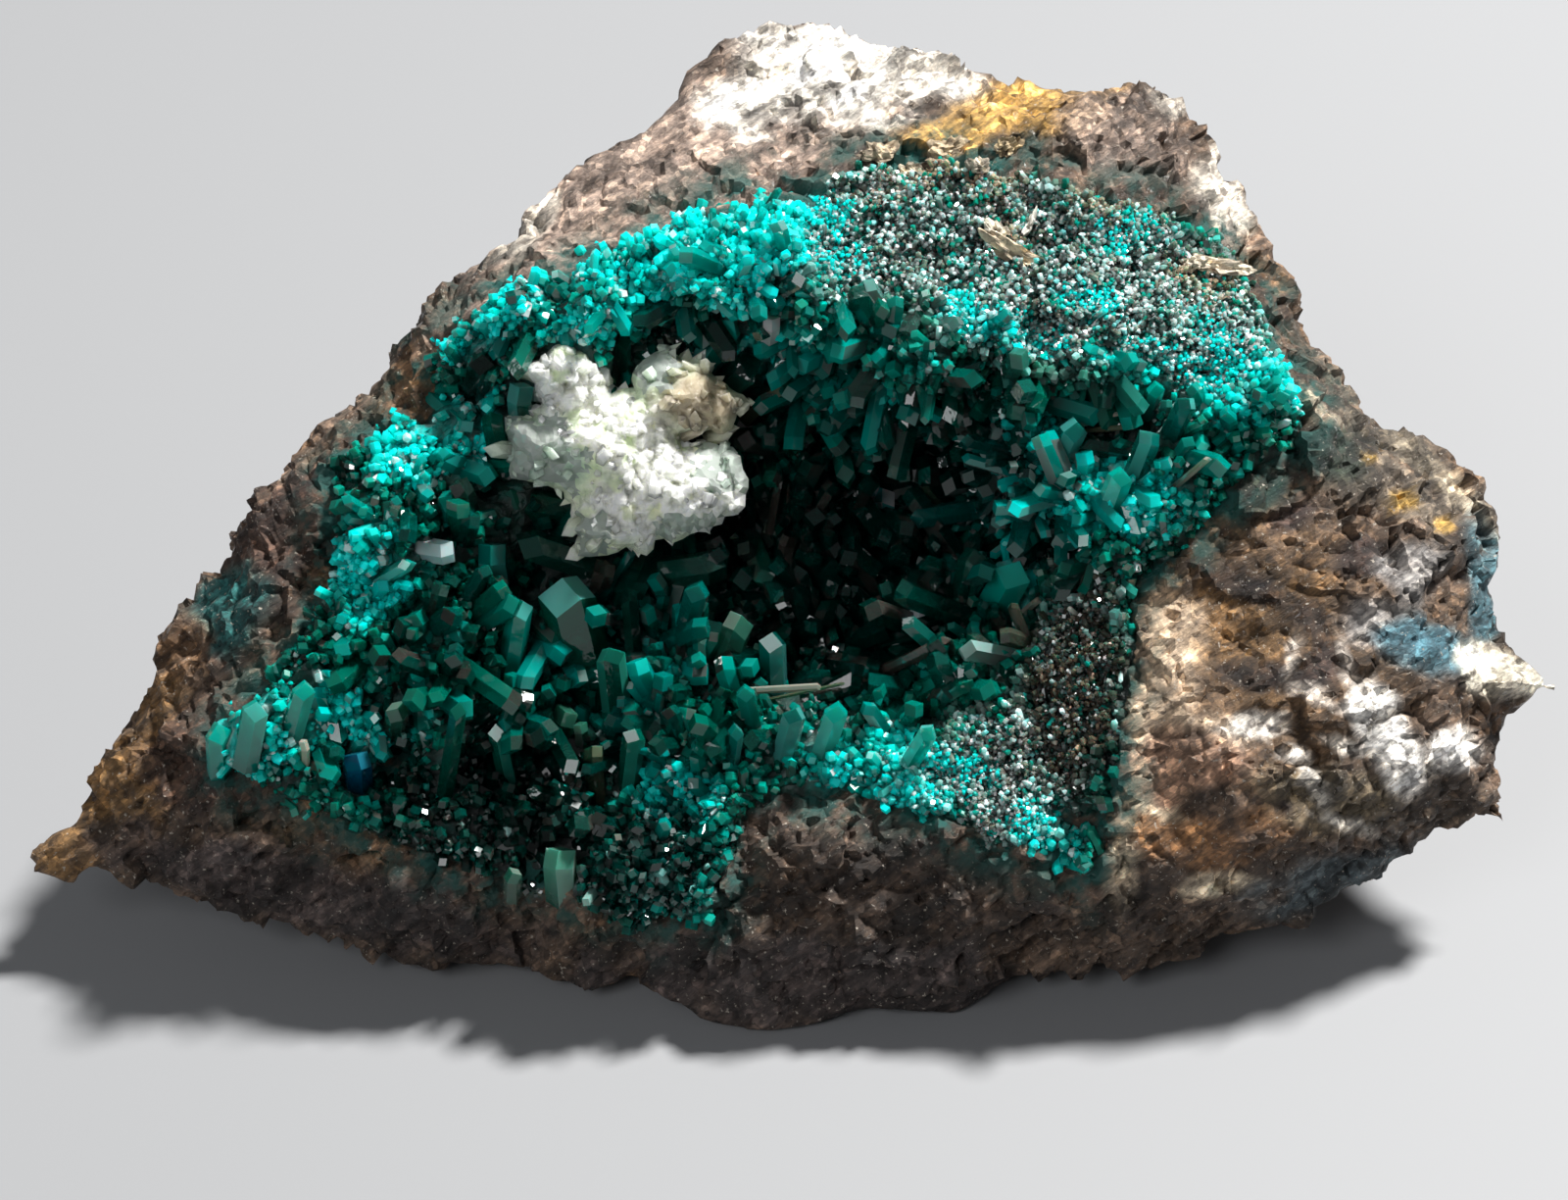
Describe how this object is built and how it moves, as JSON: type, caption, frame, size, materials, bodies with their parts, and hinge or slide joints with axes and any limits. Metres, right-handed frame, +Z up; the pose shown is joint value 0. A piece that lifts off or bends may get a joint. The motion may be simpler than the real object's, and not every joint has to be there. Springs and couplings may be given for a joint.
{
  "type": "dioptase specimen",
  "caption": "Hand specimen of dioptase: broken brown host rock whose hollow is lined with a crust of green prisms around a pale calcite cluster.",
  "frame": {"origin": "middle of the bounding box's underside, on the surface that the specimen rests on", "axes": "+X to the viewer's right along the longest extent, +Y away from the viewer, +Z up; the hollow faces -Y and up"},
  "size_m": [0.0914, 0.0498, 0.0423],
  "materials": {
    "host_rock": "rough broken brown rock with ochre and pale patches",
    "dioptase": "glossy translucent emerald green crystals, bright turquoise where they are fine",
    "calcite": "translucent, glittering, white to pale green"
  },
  "bodies": {
    "root": {"matrix": "host_rock", "dioptase_crust": "dioptase", "calcite_cluster": "calcite"}
  },
  "joints": []
}
